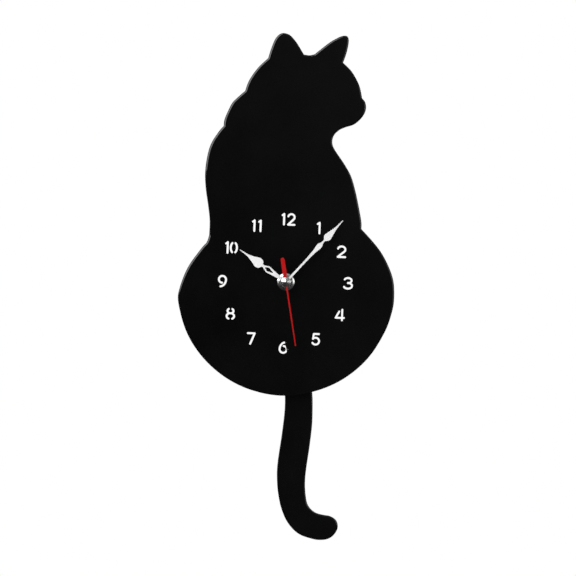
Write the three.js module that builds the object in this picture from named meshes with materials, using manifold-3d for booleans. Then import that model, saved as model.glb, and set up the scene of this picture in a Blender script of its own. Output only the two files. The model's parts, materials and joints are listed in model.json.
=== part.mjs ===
// Cat tail clock: a black acrylic cat seen from behind, with a quartz pendulum movement behind it.
// The tail is a second acrylic plate that hangs from the movement's rocker and swings.
//
// Millimetres. +Z is up, the front of the clock faces -Y and +X is to the viewer's right.
// The origin is the wall nail: y = 0 is the wall, and the dial centre is DIAL_DROP below the nail.

import * as THREE from "three";
import { mergeVertices } from "three/addons/utils/BufferGeometryUtils.js";
import Module from "manifold-3d";

// ---------------------------------------------------------------- driving dimensions

const DIAL_DROP = 45; // nail down to the dial centre
const DIAL_RADIUS = 58.4; // centres of the numerals
const DRAWING_DROP = 0.6; // the hub stands this far above the middle of the numerals

const PANEL_THICKNESS = 3;
const TAIL_THICKNESS = 3;
const HANGER_THICKNESS = 0.8;
const RUBBER_THICKNESS = 1;

const CASE_WIDTH = 56;
const CASE_TOP = 29.4;
const CASE_BOTTOM = -28;
const CASE_DEPTH = 16;
const CASE_WALL = 1.5;
const BACK_COVER_THICKNESS = 1.5;
const BATTERY_WALL = 12.4; // middle of the wall between the wheels and the battery
const BATTERY_CENTRE = [-7.7, 20.45]; // y and z of the cell's axis
const BATTERY_RADIUS = 7.1;
const BATTERY_LENGTH = 49;

const PENDULUM_CASE_WIDTH = 40;
const PENDULUM_CASE_BOTTOM = -46;
const PENDULUM_CASE_DEPTH = 8;
const PIVOT_Z = -33; // the tail's pivot, below the dial centre
const SWING = 8; // degrees from plumb, to the viewer's right, in this pose

const HOUR_ANGLE = 303; // degrees clockwise from twelve, in this pose
const MINUTE_ANGLE = 40.8;
const SECOND_ANGLE = 169.4;
const HOUR_LENGTH = 51;
const MINUTE_LENGTH = 76;
const SECOND_LENGTH = 58.6;

// Front faces going out from the wall, along -Y.
const CASE_FRONT = -CASE_DEPTH;
const HANGER_FRONT = CASE_FRONT - HANGER_THICKNESS;
const PANEL_BACK = HANGER_FRONT - RUBBER_THICKNESS;
const PANEL_FRONT = PANEL_BACK - PANEL_THICKNESS;
const WASHER_FRONT = PANEL_FRONT - 0.8;
const NUT_FRONT = WASHER_FRONT - 2.2;
const BUSH_FRONT = NUT_FRONT - 0.5;
const HOUR_HAND_BACK = BUSH_FRONT - 0.8;
const MINUTE_HAND_BACK = HOUR_HAND_BACK - 1.9;
const HAND_NUT_BACK = MINUTE_HAND_BACK - 0.5; // of the small nut on the minute pipe
const SECOND_HAND_BACK = HAND_NUT_BACK - 2.4;
const HAND_THICKNESS = 0.5;
const SECOND_HAND_THICKNESS = 0.4;
const SECOND_HAND_FRONT = SECOND_HAND_BACK - SECOND_HAND_THICKNESS;

// Radii of the coaxial tubes at the dial centre.
const ARBOR_RADIUS = 0.5;
const MINUTE_PIPE_RADIUS = 1.5;
const HOUR_PIPE_RADIUS = 2.4;
const BUSH_BORE_RADIUS = 2.6;
const BUSH_RADIUS = 4;
const BUSH_CLEARANCE = 4.2;
const FIT = 0.05; // radial clearance of a piece on its shaft

// Layers of the wheel train: y of each wheel's rear face. A wheel is WHEEL_THICKNESS thick.
const WHEEL_THICKNESS = 1;
const HOUR_LAYER = -13.2;
const MOTION_LAYER = -12;
const CENTRE_LAYER = -9.2;
const THIRD_LAYER = -7.6;
const SECONDS_LAYER = -6;
const INTERMEDIATE_LAYER = -3.6;
const TRAIN_PLATE_BACK = -10.8;
const ARBOR_BACK = -1.8; // rear end of every arbor of the train
const ARBOR_FRONT = TRAIN_PLATE_BACK - 0.6; // front end of those that reach through the plate

// Tooth counts and modules.
const TRAIN = {
  rotorPinion: { teeth: 7, module: 0.34 },
  intermediateWheel: { teeth: 42, module: 0.34 },
  intermediatePinion: { teeth: 8, module: 0.45 },
  secondsWheel: { teeth: 40, module: 0.45 },
  secondsPinion: { teeth: 6, module: 0.48 },
  thirdWheel: { teeth: 45, module: 0.48 },
  thirdPinion: { teeth: 7, module: 0.38857 },
  centreWheel: { teeth: 56, module: 0.38857 },
  cannonPinion: { teeth: 8, module: 0.6 },
  motionWheel: { teeth: 24, module: 0.6 },
  motionPinion: { teeth: 7, module: 0.54857 },
  hourWheel: { teeth: 28, module: 0.54857 },
  knobPinion: { teeth: 8, module: 0.6 },
};

const degrees = THREE.MathUtils.degToRad;

// Distance between two meshing gears, and the axis that lies that far away at an angle.
const spacing = (a, b) => ((a.teeth + b.teeth) * a.module) / 2;
const axisFrom = ([x, z], distance, angle) => [
  x + distance * Math.cos(degrees(angle)),
  z + distance * Math.sin(degrees(angle)),
];

const CENTRE = [0, 0];
const THIRD_AXIS = axisFrom(CENTRE, spacing(TRAIN.secondsPinion, TRAIN.thirdWheel), 200);
const INTERMEDIATE_AXIS = axisFrom(CENTRE, spacing(TRAIN.intermediatePinion, TRAIN.secondsWheel), -10);
const ROTOR_AXIS = axisFrom(INTERMEDIATE_AXIS, spacing(TRAIN.rotorPinion, TRAIN.intermediateWheel), -50);
const MOTION_AXIS = axisFrom(CENTRE, spacing(TRAIN.cannonPinion, TRAIN.motionWheel), -120);
const KNOB_AXIS = axisFrom(MOTION_AXIS, spacing(TRAIN.motionWheel, TRAIN.knobPinion), -120);

// ---------------------------------------------------------------- colours

const finish = (color, roughness, metalness = 0) => () =>
  new THREE.MeshStandardMaterial({ color, roughness, metalness });

const BLACK_ACRYLIC = finish(0x050505, 0.05);
const BLACK_PLASTIC = finish(0x161616, 0.5);
const WHITE_PLASTIC = finish(0xe8e6df, 0.45);
const NATURAL_PLASTIC = finish(0xd9d2bd, 0.4);
const WHITE_LACQUER = finish(0xf2f2f2, 0.35);
const RED_LACQUER = finish(0xb01515, 0.35);
const CHROME = finish(0xdddddd, 0.08, 1);
const STEEL = finish(0xa8a8a8, 0.35, 1);
const BRASS = finish(0xc9a24d, 0.3, 1);
const COPPER = finish(0xb5652b, 0.35, 1);
const NICKEL = finish(0xc8c4ba, 0.25, 1);
const FERRITE = finish(0x3a3a3c, 0.6, 0.4);
const RUBBER = finish(0x121212, 0.9);
const FOAM = finish(0xf4f1ea, 0.95);
const BOARD_GREEN = finish(0x1f5a34, 0.5);
const EPOXY = finish(0x0c0c0c, 0.3);
const CELL_JACKET = finish(0x2f5f8f, 0.4, 0.3);

// ---------------------------------------------------------------- solids

const wasm = await Module();
wasm.setup();

function solidOf(geometry) {
  const bare = geometry.clone();
  bare.deleteAttribute("normal");
  bare.deleteAttribute("uv");
  const merged = mergeVertices(bare, 1e-4);
  return new wasm.Manifold(
    new wasm.Mesh({
      numProp: 3,
      vertProperties: merged.attributes.position.array,
      triVerts: new Uint32Array(merged.index.array),
    }),
  );
}

function geometryOf(solid) {
  const mesh = solid.getMesh();
  const geometry = new THREE.BufferGeometry();
  geometry.setAttribute("position", new THREE.BufferAttribute(mesh.vertProperties, 3));
  geometry.setIndex(new THREE.BufferAttribute(mesh.triVerts, 1));
  geometry.computeVertexNormals();
  return geometry;
}

function join(...geometries) {
  return geometryOf(geometries.map(solidOf).reduce((whole, piece) => whole.add(piece)));
}

function cut(geometry, ...tools) {
  return geometryOf(tools.map(solidOf).reduce((whole, tool) => whole.subtract(tool), solidOf(geometry)));
}

// A flat plate with its outline in x and z, from y = back towards the viewer.
function plate(shape, back, thickness, curveSegments = 8) {
  const geometry = new THREE.ExtrudeGeometry(shape, {
    depth: thickness,
    bevelEnabled: false,
    curveSegments,
  });
  return geometry.rotateX(Math.PI / 2).translate(0, back, 0);
}

// A turned piece about the Y axis. Its profile is [radius, y] points, from front to back outside.
function turned(profile, segments = 16) {
  const points = profile.map(([radius, y]) => new THREE.Vector2(radius, y));
  return new THREE.LatheGeometry(points, segments);
}

function rod(radius, back, front, segments = 12) {
  return turned([[0, front], [radius, front], [radius, back], [0, back]], segments);
}

function tube(inner, outer, back, front, segments = 24) {
  const profile = [[inner, front], [outer, front], [outer, back], [inner, back], [inner, front]];
  return turned(profile, segments);
}

function block([x0, x1], [y0, y1], [z0, z1]) {
  const geometry = new THREE.BoxGeometry(x1 - x0, y1 - y0, z1 - z0);
  return geometry.translate((x0 + x1) / 2, (y0 + y1) / 2, (z0 + z1) / 2);
}

const at = ([x, z], geometry) => geometry.translate(x, 0, z);
const alongX = (geometry) => geometry.rotateZ(-Math.PI / 2);

function polygon(points) {
  return new THREE.Shape(points.map(([x, z]) => new THREE.Vector2(x, z)));
}

// Corners [radius, share of the pitch] repeated round a ring.
function ring(count, corners, phase = 0) {
  const pitch = (2 * Math.PI) / count;
  const points = [];
  for (let i = 0; i < count; i++) {
    for (const [radius, share] of corners) {
      const angle = phase + (i + share) * pitch;
      points.push([radius * Math.cos(angle), radius * Math.sin(angle)]);
    }
  }
  return polygon(points);
}

function roundedRectangle([x0, x1], [z0, z1], radius) {
  const shape = new THREE.Shape();
  shape.moveTo(x0 + radius, z0);
  shape.absarc(x1 - radius, z0 + radius, radius, -Math.PI / 2, 0);
  shape.absarc(x1 - radius, z1 - radius, radius, 0, Math.PI / 2);
  shape.absarc(x0 + radius, z1 - radius, radius, Math.PI / 2, Math.PI);
  shape.absarc(x0 + radius, z0 + radius, radius, Math.PI, 1.5 * Math.PI);
  return shape;
}

// A closed outline made of smooth stretches that meet in corners.
function outline(stretches) {
  const shape = new THREE.Shape();
  shape.moveTo(...stretches[0][0]);
  for (const stretch of stretches) {
    const points = stretch.slice(1).map(([x, z]) => new THREE.Vector2(x, z));
    shape.splineThru(points);
  }
  return shape;
}

// A hand's outline, pointing up: [distance from the centre, half width] down one side.
function symmetricOutline(side) {
  const right = side.map(([distance, half]) => [half, distance]);
  const left = side.map(([distance, half]) => [-half, distance]).reverse();
  return polygon([...right, ...left]);
}

// ---------------------------------------------------------------- gears

// Addendum and dedendum in modules, and half the tooth at its root and tip in shares of the pitch.
const TOOTH = { addendum: 0.75, dedendum: 1.1, rootHalf: 0.28, tipHalf: 0.12 };

function toothedShape({ teeth, module }, phase) {
  const pitchRadius = (teeth * module) / 2;
  const root = pitchRadius - TOOTH.dedendum * module;
  const tip = pitchRadius + TOOTH.addendum * module;
  const { rootHalf, tipHalf } = TOOTH;
  return ring(teeth, [[root, -rootHalf], [tip, -tipHalf], [tip, tipHalf], [root, rootHalf]], phase);
}

// The phase that puts a gap of the second gear where a tooth of the first one comes.
function meshingPhase(first, firstPhase, firstAxis, second, secondAxis) {
  const line = Math.atan2(secondAxis[1] - firstAxis[1], secondAxis[0] - firstAxis[0]);
  const firstPitch = (2 * Math.PI) / first.teeth;
  const secondPitch = (2 * Math.PI) / second.teeth;
  const behind = (line - firstPhase) / firstPitch;
  return line + Math.PI - (0.5 - behind) * secondPitch;
}

function gear(spec, phase, back, thickness = WHEEL_THICKNESS) {
  return plate(toothedShape(spec, phase), back, thickness);
}

const PHASE = { rotorPinion: 0, intermediatePinion: 0, secondsPinion: 0, thirdPinion: 0 };
PHASE.cannonPinion = 0;
PHASE.motionPinion = 0;
for (const [driver, driverAxis, driven, drivenAxis] of [
  ["rotorPinion", ROTOR_AXIS, "intermediateWheel", INTERMEDIATE_AXIS],
  ["intermediatePinion", INTERMEDIATE_AXIS, "secondsWheel", CENTRE],
  ["secondsPinion", CENTRE, "thirdWheel", THIRD_AXIS],
  ["thirdPinion", THIRD_AXIS, "centreWheel", CENTRE],
  ["cannonPinion", CENTRE, "motionWheel", MOTION_AXIS],
  ["motionPinion", MOTION_AXIS, "hourWheel", CENTRE],
  ["motionWheel", MOTION_AXIS, "knobPinion", KNOB_AXIS],
]) {
  PHASE[driven] = meshingPhase(TRAIN[driver], PHASE[driver], driverAxis, TRAIN[driven], drivenAxis);
}

// ---------------------------------------------------------------- numerals cut through the panel

const STROKE = 0.88; // half width of a numeral's stroke
const CUT_THROUGH = [PANEL_BACK + 1, PANEL_THICKNESS + 2]; // back face and depth of a cutter
const CAP_SHARES = [0.25, 0.5, 0.75]; // where the corners of a round end lie, along its half turn

// A stroke along a line of points, with round ends.
function stroke(points) {
  const path = points.map(([x, z]) => new THREE.Vector2(x, z));
  const last = path.length - 1;
  const heading = (i) => path[Math.min(i + 1, last)].clone().sub(path[Math.max(i - 1, 0)]).angle();
  const edge = [];
  const add = (centre, angle) =>
    edge.push([centre.x + STROKE * Math.cos(angle), centre.y + STROKE * Math.sin(angle)]);
  path.forEach((point, i) => add(point, heading(i) - Math.PI / 2));
  for (const share of CAP_SHARES) {
    add(path[last], heading(last) + (share - 0.5) * Math.PI);
  }
  for (let i = last; i >= 0; i--) {
    add(path[i], heading(i) + Math.PI / 2);
  }
  for (const share of CAP_SHARES) {
    add(path[0], heading(0) + (share + 0.5) * Math.PI);
  }
  return edge;
}

const line = (...points) => points;

// Points along an elliptical arc, in degrees anticlockwise from +X.
function arc([x, z], [rx, rz], from, to) {
  const steps = Math.ceil(Math.abs(to - from) / 24);
  return Array.from({ length: steps + 1 }, (_, i) => {
    const angle = degrees(from + ((to - from) * i) / steps);
    return [x + rx * Math.cos(angle), z + rz * Math.sin(angle)];
  });
}

const SIX = [[...arc([2.2, -1.7], [5.5, 6.5], 97, 180), ...arc([0, -1.7], [3.2, 3.1], 204, 446)]];

// Stencil figures: each is a list of strokes about the figure's middle. Gaps hold the inner islands.
const FIGURES = {
  0: [arc([0, 0], [3.3, 4.8], 120, 240), arc([0, 0], [3.3, 4.8], -60, 60)],
  1: [line([0.6, 4.8], [0.6, -4.8]), line([0.6, 4.7], [-1.1, 3.6])],
  2: [[...arc([0, 2], [3.4, 2.8], 165, -30), [-3.4, -4.8]], line([-3.4, -4.8], [3.5, -4.8])],
  3: [arc([-0.1, 2.5], [3.3, 2.3], 155, -90), arc([-0.1, -2.2], [3.8, 2.6], 90, -155)],
  4: [line([2.5, 4.8], [2.5, -4.8]), line([-3.3, -2.6], [4.2, -2.6]), line([-0.2, 3.1], [-3.3, -2.6])],
  5: [
    line([-1.9, 4.8], [2.7, 4.8]),
    line([-1.9, 4.8], [-2.4, 0.3]),
    arc([-0.1, -1.7], [3.2, 3.1], 138, -150),
  ],
  6: SIX,
  7: [line([-3.1, 4.8], [3.1, 4.8]), line([3.1, 4.8], [-0.7, -4.8])],
  8: [arc([0, 2.6], [2.7, 2.2], 128, 412), arc([0, -2.1], [3.4, 2.7], 300, 600)],
  9: SIX.map((points) => points.map(([x, z]) => [-x, -z])),
};
const PAIR_WIDTH = 0.85; // the figures of 10, 11 and 12 are this much narrower

// Each numeral's figures with the offset of each figure's middle, and how far it stands off the
// even ring, because the dial is spaced by eye.
const NUMERALS = [
  { hour: 1, figures: [["1", 0]], shift: [-0.9, 0.1] },
  { hour: 2, figures: [["2", 0]], shift: [-0.9, 0.7] },
  { hour: 3, figures: [["3", 0]], shift: [-1.8, 1.4] },
  { hour: 4, figures: [["4", 0]], shift: [-0.8, 1.6] },
  { hour: 5, figures: [["5", 0]], shift: [-0.1, 0.1] },
  { hour: 6, figures: [["6", 0]], shift: [-0.1, -0.6] },
  { hour: 7, figures: [["7", 0]], shift: [-0.4, -1.3] },
  { hour: 8, figures: [["8", 0]], shift: [1.4, -0.9] },
  { hour: 9, figures: [["9", 0]], shift: [0.8, -0.8] },
  { hour: 10, figures: [["1", -4], ["0", 2.1]], shift: [0.2, 0.8] },
  { hour: 11, figures: [["1", -2.8], ["1", 2.8]], shift: [1.2, 0.1] },
  { hour: 12, figures: [["1", -4.3], ["2", 2.8]], shift: [0.2, -0.9] },
];

function numeralCutters() {
  const cutters = [];
  for (const { hour, figures, shift } of NUMERALS) {
    const angle = degrees(30 * hour);
    const width = figures.length > 1 ? PAIR_WIDTH : 1;
    const x = DIAL_RADIUS * Math.sin(angle) + shift[0];
    const z = DIAL_RADIUS * Math.cos(angle) + shift[1] - DRAWING_DROP;
    for (const [figure, offset] of figures) {
      for (const points of FIGURES[figure]) {
        const centreLine = points.map(([px, pz]) => [px * width, pz]);
        cutters.push(at([x + offset, z], plate(polygon(stroke(centreLine)), ...CUT_THROUGH)));
      }
    }
  }
  return cutters;
}

// ---------------------------------------------------------------- acrylic plates

const LEFT_EAR = [
  [-23.4, 203], [-21.4, 210.5], [-17.4, 221], [-11.9, 226], [-5, 225], [0.5, 220], [4.5, 214.5], [9, 207.5],
];
const CROWN = [[9, 207.5], [13.9, 207], [18.4, 208]];
const RIGHT_EAR = [
  [18.4, 208], [30.8, 218.5], [36.8, 222.5], [42.8, 225.5], [47.7, 225.5], [49.2, 221], [47.7, 211],
  [44.8, 201.5],
];
const FACE = [[44.8, 201.5], [53.2, 193.5], [60.2, 181.5], [63.2, 170]];
const MUZZLE_AND_CHEST = [
  [63.2, 170], [66.1, 166.5], [67.1, 161], [65.6, 155.5], [61.7, 150], [56.2, 145.5], [49.2, 143],
  [43.3, 140], [38.8, 135], [37.6, 128.5], [40.3, 122], [48.7, 110.5], [55.7, 99], [60.2, 85.5],
  [63.6, 72], [66.6, 58], [66.9, 51.3],
];
const HAUNCHES = [
  [66.9, 51.3], [76.6, 41.5], [85.5, 31], [92.5, 19], [97.5, 6], [99, -8], [97.8, -22], [91.5, -42],
  [77.6, -65.5], [57.2, -84.5], [32.3, -97], [3, -102.8], [-24.9, -99.5], [-50.2, -89], [-72.1, -71.5],
  [-88, -49], [-96.7, -22.5], [-96.2, -8.5], [-89.2, 11], [-77.6, 28.5], [-73.1, 34], [-71.1, 40.5],
];
const BACK = [
  [-71.1, 40.5], [-71.1, 54], [-73.1, 68], [-75.6, 82], [-76.8, 95.5], [-75.8, 109.5], [-72.6, 123],
  [-65.6, 135], [-61.5, 140],
];
const SHOULDER = [[-61.5, 140], [-60.7, 147], [-55.2, 160], [-50.7, 165.5], [-43.3, 172.5]];
const NECK = [[-43.3, 172.5], [-39.8, 182.5], [-32.3, 194], [-23.4, 203]];

function catPanel() {
  const shape = outline([
    LEFT_EAR, CROWN, RIGHT_EAR, FACE, MUZZLE_AND_CHEST, HAUNCHES, BACK, SHOULDER, NECK,
  ]);
  const blank = plate(shape, PANEL_BACK, PANEL_THICKNESS, 3).translate(0, 0, -DRAWING_DROP);
  const bushHole = rod(BUSH_CLEARANCE, PANEL_BACK + 1, PANEL_FRONT - 1, 24);
  return cut(blank, bushHole, ...numeralCutters());
}

const TAIL_BACK = -11.7;
const TAIL_OUTLINE = [
  [10.3, -75], [3.6, -80], [1.6, -90], [3.1, -103], [3.3, -117], [1.6, -138], [-1.4, -165], [-1.3, -180],
  [0.3, -193], [3.8, -206.5], [10.1, -219], [20.1, -228.5], [33.1, -232.8], [41.1, -233.4], [47.6, -232],
  [52.6, -228], [55.6, -221.8], [54.1, -215.2], [48.6, -211.5], [41.6, -210.4], [35.1, -208.7],
  [29.6, -204.5], [26.3, -198.2], [24.4, -184.5], [24.8, -170.5], [27.1, -150], [28.8, -130], [28.8, -115],
  [28.1, -101], [25.6, -87], [19.3, -77.5], [10.3, -75],
];

const tailPanel = () =>
  plate(outline([TAIL_OUTLINE]), TAIL_BACK, TAIL_THICKNESS, 3).translate(0, 0, -DRAWING_DROP);

// ---------------------------------------------------------------- what holds the movement

const KEYHOLE_SLOT = 2.5; // half width of the slot that rests on the nail
const KEYHOLE_ENTRY = { radius: 4.8, drop: 8 };
const HANGER = { foot: 11, half: 8, top: 6, corner: 3 };
const CRANK = { low: 30, high: 32, back: 3 }; // the hanger's top stands back, to leave room for a nail head

// A strip under the nut's stack, cranked back above the movement, with a keyhole in its top.
function hanger() {
  const { foot, half, corner } = HANGER;
  const top = DIAL_DROP + HANGER.top;
  const footShape = new THREE.Shape();
  footShape.moveTo(-half, CRANK.low);
  footShape.absarc(0, 0, foot, degrees(137), degrees(403));
  footShape.lineTo(half, CRANK.low);
  const tabBack = CASE_FRONT + CRANK.back;
  const tabShape = polygon([
    [-half, CRANK.high], [half, CRANK.high], [half, top - corner], [half - corner, top],
    [corner - half, top], [-half, top - corner],
  ]);
  const slope = polygon([
    [-CASE_FRONT, CRANK.low - 0.5], [-HANGER_FRONT, CRANK.low - 0.5], [-HANGER_FRONT, CRANK.low + 0.2],
    [HANGER_THICKNESS - tabBack, CRANK.high + 0.2], [HANGER_THICKNESS - tabBack, CRANK.high + 0.5],
    [-tabBack, CRANK.high + 0.5], [-tabBack, CRANK.high - 0.2], [-CASE_FRONT, CRANK.low - 0.2],
  ]);
  const blank = join(
    plate(footShape, CASE_FRONT, HANGER_THICKNESS, 10),
    plate(tabShape, tabBack, HANGER_THICKNESS),
    alongX(plate(slope, half, 2 * half)),
  );
  const reach = [tabBack + 1, tabBack - HANGER_THICKNESS - 1];
  const entry = DIAL_DROP - KEYHOLE_ENTRY.drop;
  return cut(
    blank,
    rod(BUSH_CLEARANCE, CASE_FRONT + 1, HANGER_FRONT - 1, 24),
    at([0, entry], rod(KEYHOLE_ENTRY.radius, ...reach, 20)),
    at([0, DIAL_DROP], rod(KEYHOLE_SLOT, ...reach, 16)),
    block([-KEYHOLE_SLOT, KEYHOLE_SLOT], [reach[1], reach[0]], [entry, DIAL_DROP]),
  );
}

const bush = () => tube(BUSH_BORE_RADIUS, BUSH_RADIUS, CASE_FRONT + CASE_WALL, BUSH_FRONT, 24);
const rubberWasher = () => tube(BUSH_CLEARANCE, 9, HANGER_FRONT, PANEL_BACK, 24);
const flatWasher = () => tube(BUSH_CLEARANCE, 7.8, PANEL_FRONT, WASHER_FRONT, 32);

function hexNut() {
  const cornerRadius = 6.15;
  const turn = degrees(-17.7); // as it was left when tightened
  const blank = plate(ring(6, [[cornerRadius, 0]], turn), WASHER_FRONT, WASHER_FRONT - NUT_FRONT);
  return cut(blank, rod(BUSH_RADIUS + FIT, WASHER_FRONT + 1, NUT_FRONT - 1, 24));
}

// ---------------------------------------------------------------- movement case

const HALF_CASE = CASE_WIDTH / 2;
const INNER = HALF_CASE - CASE_WALL;
const COVER_SCREWS = [[-23.2, 8], [-23.2, -23], [23.4, 8.6]];
const BOSS = { radius: 2.2, bore: 0.95 };
const COVER_BACK = 0;
const COVER_FRONT = -BACK_COVER_THICKNESS;
const KNOB_WELL = { radius: 6.2, depth: 3, wall: 0.9 };

function movementCase() {
  const blank = plate(
    roundedRectangle([-HALF_CASE, HALF_CASE], [CASE_BOTTOM, CASE_TOP], 3),
    0,
    CASE_DEPTH,
    3,
  );
  const floor = CASE_FRONT + CASE_WALL;
  const wheelBay = block([-INNER, INNER], [floor, 1], [CASE_BOTTOM + CASE_WALL, BATTERY_WALL - 0.5]);
  const coverSeat = block(
    [-HALF_CASE - 1, HALF_CASE + 1],
    [COVER_FRONT, 1],
    [CASE_BOTTOM - 1, BATTERY_WALL],
  );
  const batteryBay = block([-INNER, INNER], [CASE_FRONT + 0.8, 1], [BATTERY_WALL + 0.5, CASE_TOP - 1.4]);
  const shell = cut(blank, wheelBay, coverSeat, batteryBay, rod(BUSH_RADIUS, 0, CASE_FRONT - 1, 24));
  const bosses = COVER_SCREWS.map((place) =>
    at(place, rod(BOSS.radius, COVER_FRONT, floor - 0.5, 8)),
  );
  const bores = COVER_SCREWS.map((place) => at(place, rod(BOSS.bore, 1, -9, 8)));
  return cut(join(shell, ...bosses), ...bores);
}

function backCover() {
  const blank = plate(
    roundedRectangle([-HALF_CASE, HALF_CASE], [CASE_BOTTOM, BATTERY_WALL - 0.1], 3),
    COVER_BACK,
    BACK_COVER_THICKNESS,
    3,
  );
  const { radius, depth, wall } = KNOB_WELL;
  const well = at(KNOB_AXIS, rod(radius + wall, COVER_BACK, -depth - wall, 20));
  const screwHoles = COVER_SCREWS.flatMap((place) => [
    at(place, rod(BOSS.bore + 0.1, 1, -9, 8)),
    at(place, rod(2.1, 1, -0.8, 12)),
  ]);
  return cut(
    join(blank, well),
    at(KNOB_AXIS, rod(radius, 1, -depth, 20)),
    at(KNOB_AXIS, rod(1.2, 1, -depth - 2, 8)),
    ...screwHoles,
  );
}

// A self-tapping screw with its head set flush in the back cover.
function coverScrew(place) {
  const profile = [[0, -7.5], [0.5, -7.2], [0.8, -6], [0.8, -0.75], [1.9, -0.75], [1.9, -0.1], [0, -0.1]];
  const driveSlot = at(place, block([-1.4, 1.4], [-0.4, 1], [-0.25, 0.25]));
  return cut(at(place, turned(profile, 12)), driveSlot);
}

function trainPlate() {
  const blank = plate(
    roundedRectangle([-INNER + 0.3, INNER - 0.3], [CASE_BOTTOM + 1.8, BATTERY_WALL - 0.8], 2),
    TRAIN_PLATE_BACK,
    0.8,
    2,
  );
  const hole = (place, radius) => at(place, rod(radius, TRAIN_PLATE_BACK + 1, TRAIN_PLATE_BACK - 2, 8));
  return cut(
    blank,
    hole(CENTRE, 2.15),
    hole(THIRD_AXIS, 0.6),
    hole(MOTION_AXIS, 0.8),
    hole(ROTOR_AXIS, 0.5),
    hole(KNOB_AXIS, 1.2),
    ...COVER_SCREWS.map((place) => hole(place, BOSS.radius + 0.3)),
  );
}

// ---------------------------------------------------------------- wheels and arbors

function wheelWithPinion(wheel, wheelBack, pinion, pinionBack, bore) {
  const front = Math.min(wheelBack, pinionBack) - WHEEL_THICKNESS;
  const back = Math.max(wheelBack, pinionBack);
  const hub = rod(pinion.hub, back, front, 12);
  const blank = join(
    gear(TRAIN[wheel], PHASE[wheel], wheelBack),
    gear(TRAIN[pinion.name], PHASE[pinion.name], pinionBack),
    hub,
  );
  return cut(blank, rod(bore, back + 1, front - 1, 16));
}

const secondsWheel = () =>
  wheelWithPinion(
    "secondsWheel", SECONDS_LAYER,
    { name: "secondsPinion", hub: 1 }, THIRD_LAYER,
    ARBOR_RADIUS + 0.02,
  );

const thirdWheel = () =>
  wheelWithPinion(
    "thirdWheel", THIRD_LAYER,
    { name: "thirdPinion", hub: 0.95 }, CENTRE_LAYER,
    0.52,
  );

const centreWheel = () =>
  wheelWithPinion(
    "centreWheel", CENTRE_LAYER,
    { name: "cannonPinion", hub: 1.95 }, MOTION_LAYER,
    MINUTE_PIPE_RADIUS + 0.02,
  );

const motionWheel = () =>
  wheelWithPinion(
    "motionWheel", MOTION_LAYER,
    { name: "motionPinion", hub: 1.3 }, HOUR_LAYER,
    0.62,
  );

const intermediateWheel = () =>
  wheelWithPinion(
    "intermediateWheel", INTERMEDIATE_LAYER,
    { name: "intermediatePinion", hub: 1.3 }, SECONDS_LAYER,
    0.42,
  );

function hourWheel() {
  const back = HOUR_LAYER;
  const front = HOUR_HAND_BACK - HAND_THICKNESS - 0.3;
  const blank = join(gear(TRAIN.hourWheel, PHASE.hourWheel, back), rod(HOUR_PIPE_RADIUS, back, front, 20));
  return cut(blank, rod(MINUTE_PIPE_RADIUS + 0.2, back + 1, front - 1, 20));
}

function rotorPinion() {
  const back = INTERMEDIATE_LAYER + 0.1;
  const hub = rod(0.9, back, -4.95, 12);
  const blank = join(gear(TRAIN.rotorPinion, PHASE.rotorPinion, back, 1.2), hub);
  return cut(blank, rod(0.42, back + 1, -6, 10));
}

function settingKnob() {
  const grip = ring(18, [[5.3, -0.3], [5.7, -0.15], [5.7, 0.15], [5.3, 0.3]]);
  const shaft = rod(1, -2, MOTION_LAYER - WHEEL_THICKNESS - 0.9, 12);
  return join(plate(grip, -0.3, 2.4), shaft, gear(TRAIN.knobPinion, PHASE.knobPinion, MOTION_LAYER));
}

// ---------------------------------------------------------------- hands

const HOUR_HAND = [
  [-3.8, 1], [-2.8, 2.7], [0, 3.9], [2.8, 2.7], [4, 1.45], [8, 1.6], [13, 2.15], [20, 3.1], [24.8, 1.05],
  [26.2, 1.4], [27.1, 3], [28.7, 4.2], [31, 4.6], [33.4, 3.8], [36, 2.75], [39.5, 1.6], [43, 0.85],
  [HOUR_LENGTH - 0.4, 0.3], [HOUR_LENGTH, 0.15],
];
const HOUR_WINDOW = [[14.4, 0.3], [19.8, 1.9], [22.9, 0.3]];
const MINUTE_HAND = [
  [-3.7, 1], [-2.7, 2.6], [0, 3.8], [2.7, 2.6], [3.8, 1], [20, 0.9], [31, 1.05], [38, 1.5], [44.8, 2.3],
  [48.8, 0.85], [51, 0.75], [52.3, 1.6], [53.8, 2.9], [55.8, 3.3], [58, 2.9], [61, 2.2], [65, 1.25],
  [70, 0.65], [MINUTE_LENGTH - 0.4, 0.3], [MINUTE_LENGTH, 0.15],
];
const SECOND_HAND = [
  [-22.2, 0.9], [-21.6, 1.4], [-20.2, 1.8], [-18, 1.85], [-7.5, 1.85], [-4.8, 1.3], [2, 1.3], [4.6, 0.8],
  [20, 0.7],
  [SECOND_LENGTH - 0.3, 0.55], [SECOND_LENGTH, 0.35],
];

function hourHand() {
  const blank = plate(symmetricOutline(HOUR_HAND), HOUR_HAND_BACK, HAND_THICKNESS);
  const reach = [HOUR_HAND_BACK + 1, HOUR_HAND_BACK - 2];
  return cut(
    blank,
    plate(symmetricOutline(HOUR_WINDOW), reach[0], 3),
    rod(HOUR_PIPE_RADIUS + FIT, ...reach, 20),
  );
}

function minuteHand() {
  const blank = plate(symmetricOutline(MINUTE_HAND), MINUTE_HAND_BACK, HAND_THICKNESS);
  return cut(blank, rod(MINUTE_PIPE_RADIUS + FIT, MINUTE_HAND_BACK + 1, MINUTE_HAND_BACK - 2, 16));
}

function secondHand() {
  const blank = plate(symmetricOutline(SECOND_HAND), SECOND_HAND_BACK, SECOND_HAND_THICKNESS);
  return cut(blank, rod(ARBOR_RADIUS + FIT, SECOND_HAND_BACK + 1, SECOND_HAND_BACK - 2, 12));
}

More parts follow.
